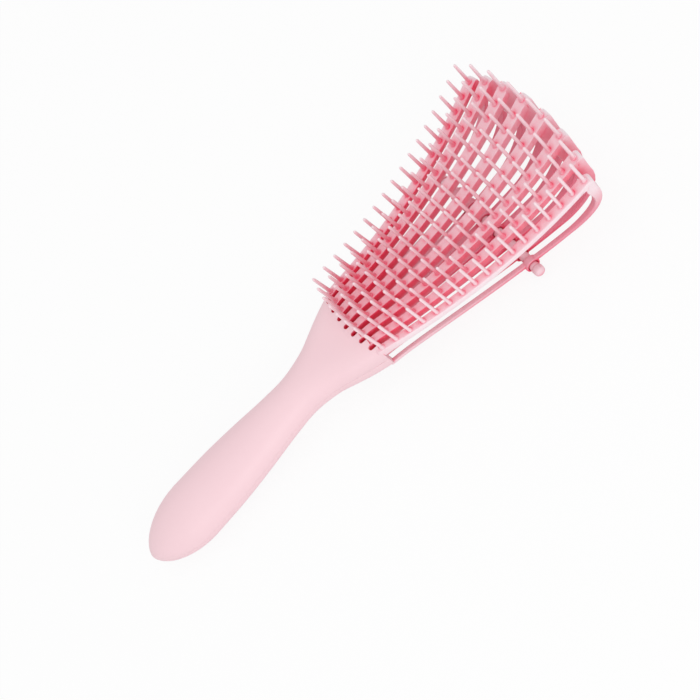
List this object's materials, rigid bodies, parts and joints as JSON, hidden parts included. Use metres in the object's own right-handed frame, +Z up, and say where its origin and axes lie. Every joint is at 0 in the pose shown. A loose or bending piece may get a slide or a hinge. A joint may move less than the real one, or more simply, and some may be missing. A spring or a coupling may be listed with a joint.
{
  "type": "vented detangling hair brush",
  "caption": "Long-handled vented detangling brush: a fan of flexible arms with moulded pins, each looped round at its tip into a thin return strut, with a cross rod behind the head.",
  "frame": {"origin": "under the middle of the brush, on the surface it lies on", "axes": "+X across the head, +Y along the brush towards the arm tips, +Z up on the pin side"},
  "size_m": [0.0778, 0.2412, 0.054],
  "materials": {
    "handle_soft_touch": "soft-touch satin, pale pink",
    "arm_plastic": "satin, rose pink",
    "rod_plastic": "satin, pale rose pink"
  },
  "bodies": {
    "handle": {"handle_front_shell": "handle_soft_touch", "handle_back_shell": "handle_soft_touch"},
    "arm_1_loop": {"arm_1": "arm_plastic", "return_strut_1": "arm_plastic"},
    "arm_2_loop": {"arm_2": "arm_plastic", "return_strut_2": "arm_plastic"},
    "arm_3_loop": {"arm_3": "arm_plastic", "return_strut_3": "arm_plastic"},
    "arm_4_loop": {"arm_4": "arm_plastic", "return_strut_4": "arm_plastic"},
    "arm_5_loop": {"arm_5": "arm_plastic", "return_strut_5": "arm_plastic"},
    "arm_6_loop": {"arm_6": "arm_plastic", "return_strut_6": "arm_plastic"},
    "arm_7_loop": {"arm_7": "arm_plastic", "return_strut_7": "arm_plastic"},
    "arm_8_loop": {"arm_8": "arm_plastic", "return_strut_8": "arm_plastic"},
    "rod": {"cross_rod": "rod_plastic", "rod_knob_left": "rod_plastic", "rod_knob_right": "rod_plastic"}
  },
  "joints": [
    {"name": "arm_1_spread", "type": "hinge", "parent": "handle", "child": "arm_1_loop", "pos_m": [-0.01832, 0.0094, 0.012], "axis": [0, 0, 1], "range_deg": [-1, 1], "stiffness_Nm_per_rad": 1.2},
    {"name": "arm_2_spread", "type": "hinge", "parent": "handle", "child": "arm_2_loop", "pos_m": [-0.0129, 0.00826, 0.012], "axis": [0, 0, 1], "range_deg": [-1, 1], "stiffness_Nm_per_rad": 1.2},
    {"name": "arm_3_spread", "type": "hinge", "parent": "handle", "child": "arm_3_loop", "pos_m": [-0.00766, 0.0075, 0.012], "axis": [0, 0, 1], "range_deg": [-1, 1], "stiffness_Nm_per_rad": 1.2},
    {"name": "arm_4_spread", "type": "hinge", "parent": "handle", "child": "arm_4_loop", "pos_m": [-0.00254, 0.00712, 0.012], "axis": [0, 0, 1], "range_deg": [-1, 1], "stiffness_Nm_per_rad": 1.2},
    {"name": "arm_5_spread", "type": "hinge", "parent": "handle", "child": "arm_5_loop", "pos_m": [0.00254, 0.00712, 0.012], "axis": [0, 0, 1], "range_deg": [-1, 1], "stiffness_Nm_per_rad": 1.2},
    {"name": "arm_6_spread", "type": "hinge", "parent": "handle", "child": "arm_6_loop", "pos_m": [0.00766, 0.0075, 0.012], "axis": [0, 0, 1], "range_deg": [-1, 1], "stiffness_Nm_per_rad": 1.2},
    {"name": "arm_7_spread", "type": "hinge", "parent": "handle", "child": "arm_7_loop", "pos_m": [0.0129, 0.00826, 0.012], "axis": [0, 0, 1], "range_deg": [-1, 1], "stiffness_Nm_per_rad": 1.2},
    {"name": "arm_8_spread", "type": "hinge", "parent": "handle", "child": "arm_8_loop", "pos_m": [0.01832, 0.0094, 0.012], "axis": [0, 0, 1], "range_deg": [-1, 1], "stiffness_Nm_per_rad": 1.2},
    {"name": "rod_shift", "type": "slide", "parent": "handle", "child": "rod", "axis": [1, 0, 0], "range_m": [-0.0003, 0.0003]}
  ]
}
